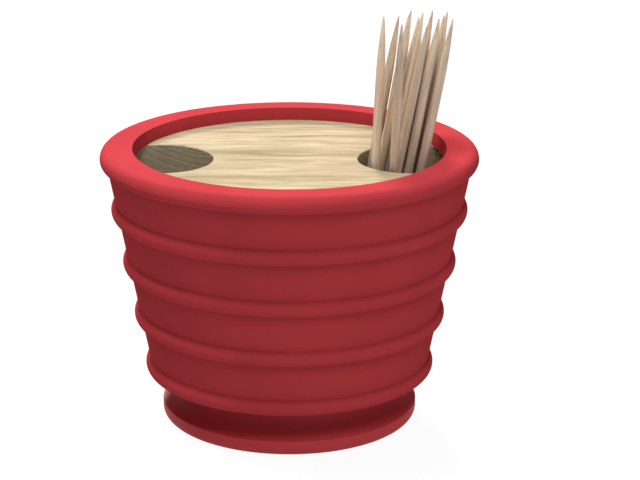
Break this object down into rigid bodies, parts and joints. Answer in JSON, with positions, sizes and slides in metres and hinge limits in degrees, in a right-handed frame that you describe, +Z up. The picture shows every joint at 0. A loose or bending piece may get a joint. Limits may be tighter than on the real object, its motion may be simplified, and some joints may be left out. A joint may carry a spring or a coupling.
{
  "type": "toothpick dispenser",
  "caption": "Round ribbed pot on a flared foot, with a rolled rim around a sunk wooden lid with round bites in its edge, one of them holding a leaning bunch of toothpicks.",
  "frame": {"origin": "centre of the foot's underside, on the table", "axes": "+Z up along the pot's axis, +X towards the bite that holds the toothpicks, -Y towards the user"},
  "size_m": [0.07, 0.07, 0.0768],
  "materials": {
    "red_plastic": "smooth satin moulding",
    "lid_wood": "sanded, unvarnished, grain along X",
    "pick_wood": "raw, fine lengthwise fibre"
  },
  "bodies": {
    "pot": {"pot_body": "red_plastic", "foot": "red_plastic"},
    "cover": {"rim_ring": "red_plastic", "wood_lid": "lid_wood"},
    "pick_01": {"toothpick_01": "pick_wood"},
    "pick_02": {"toothpick_02": "pick_wood"},
    "pick_03": {"toothpick_03": "pick_wood"},
    "pick_04": {"toothpick_04": "pick_wood"},
    "pick_05": {"toothpick_05": "pick_wood"},
    "pick_06": {"toothpick_06": "pick_wood"},
    "pick_07": {"toothpick_07": "pick_wood"},
    "pick_08": {"toothpick_08": "pick_wood"},
    "pick_09": {"toothpick_09": "pick_wood"},
    "pick_10": {"toothpick_10": "pick_wood"},
    "pick_11": {"toothpick_11": "pick_wood"},
    "pick_12": {"toothpick_12": "pick_wood"},
    "pick_13": {"toothpick_13": "pick_wood"},
    "pick_14": {"toothpick_14": "pick_wood"},
    "pick_15": {"toothpick_15": "pick_wood"},
    "pick_16": {"toothpick_16": "pick_wood"},
    "pick_17": {"toothpick_17": "pick_wood"},
    "pick_18": {"toothpick_18": "pick_wood"}
  },
  "joints": [
    {"name": "cover_lift", "type": "slide", "parent": "pot", "child": "cover", "axis": [0, 0, 1], "range_m": [0, 0.009]},
    {"name": "pick_01_draw", "type": "slide", "parent": "pot", "child": "pick_01", "axis": [0.047, 0.061, 0.997], "range_m": [0, 0.042]},
    {"name": "pick_02_draw", "type": "slide", "parent": "pot", "child": "pick_02", "axis": [0.0348, -0.0767, 0.9964], "range_m": [0, 0.042]},
    {"name": "pick_03_draw", "type": "slide", "parent": "pot", "child": "pick_03", "axis": [0.1705, -0.0061, 0.9853], "range_m": [0, 0.042]},
    {"name": "pick_04_draw", "type": "slide", "parent": "pot", "child": "pick_04", "axis": [0.1671, -0.0183, 0.9858], "range_m": [0, 0.042]},
    {"name": "pick_05_draw", "type": "slide", "parent": "pot", "child": "pick_05", "axis": [0.1754, -0.0221, 0.9842], "range_m": [0, 0.042]},
    {"name": "pick_06_draw", "type": "slide", "parent": "pot", "child": "pick_06", "axis": [0.1657, 0.0078, 0.9861], "range_m": [0, 0.042]},
    {"name": "pick_07_draw", "type": "slide", "parent": "pot", "child": "pick_07", "axis": [0.1705, -0.0385, 0.9846], "range_m": [0, 0.042]},
    {"name": "pick_08_draw", "type": "slide", "parent": "pot", "child": "pick_08", "axis": [0.1751, -0.0004, 0.9846], "range_m": [0, 0.042]},
    {"name": "pick_09_draw", "type": "slide", "parent": "pot", "child": "pick_09", "axis": [0.1619, -0.0054, 0.9868], "range_m": [0, 0.042]},
    {"name": "pick_10_draw", "type": "slide", "parent": "pot", "child": "pick_10", "axis": [0.1776, -0.0425, 0.9832], "range_m": [0, 0.042]},
    {"name": "pick_11_draw", "type": "slide", "parent": "pot", "child": "pick_11", "axis": [0.1679, 0.022, 0.9856], "range_m": [0, 0.042]},
    {"name": "pick_12_draw", "type": "slide", "parent": "pot", "child": "pick_12", "axis": [0.1652, -0.0371, 0.9856], "range_m": [0, 0.042]},
    {"name": "pick_13_draw", "type": "slide", "parent": "pot", "child": "pick_13", "axis": [0.1803, -0.0174, 0.9835], "range_m": [0, 0.042]},
    {"name": "pick_14_draw", "type": "slide", "parent": "pot", "child": "pick_14", "axis": [0.1599, 0.0175, 0.987], "range_m": [0, 0.042]},
    {"name": "pick_15_draw", "type": "slide", "parent": "pot", "child": "pick_15", "axis": [0.1746, -0.0577, 0.9829], "range_m": [0, 0.042]},
    {"name": "pick_16_draw", "type": "slide", "parent": "pot", "child": "pick_16", "axis": [0.1741, 0.0199, 0.9845], "range_m": [0, 0.042]},
    {"name": "pick_17_draw", "type": "slide", "parent": "pot", "child": "pick_17", "axis": [0.1591, -0.0178, 0.9871], "range_m": [0, 0.042]},
    {"name": "pick_18_draw", "type": "slide", "parent": "pot", "child": "pick_18", "axis": [0.1826, -0.0436, 0.9822], "range_m": [0, 0.042]}
  ]
}
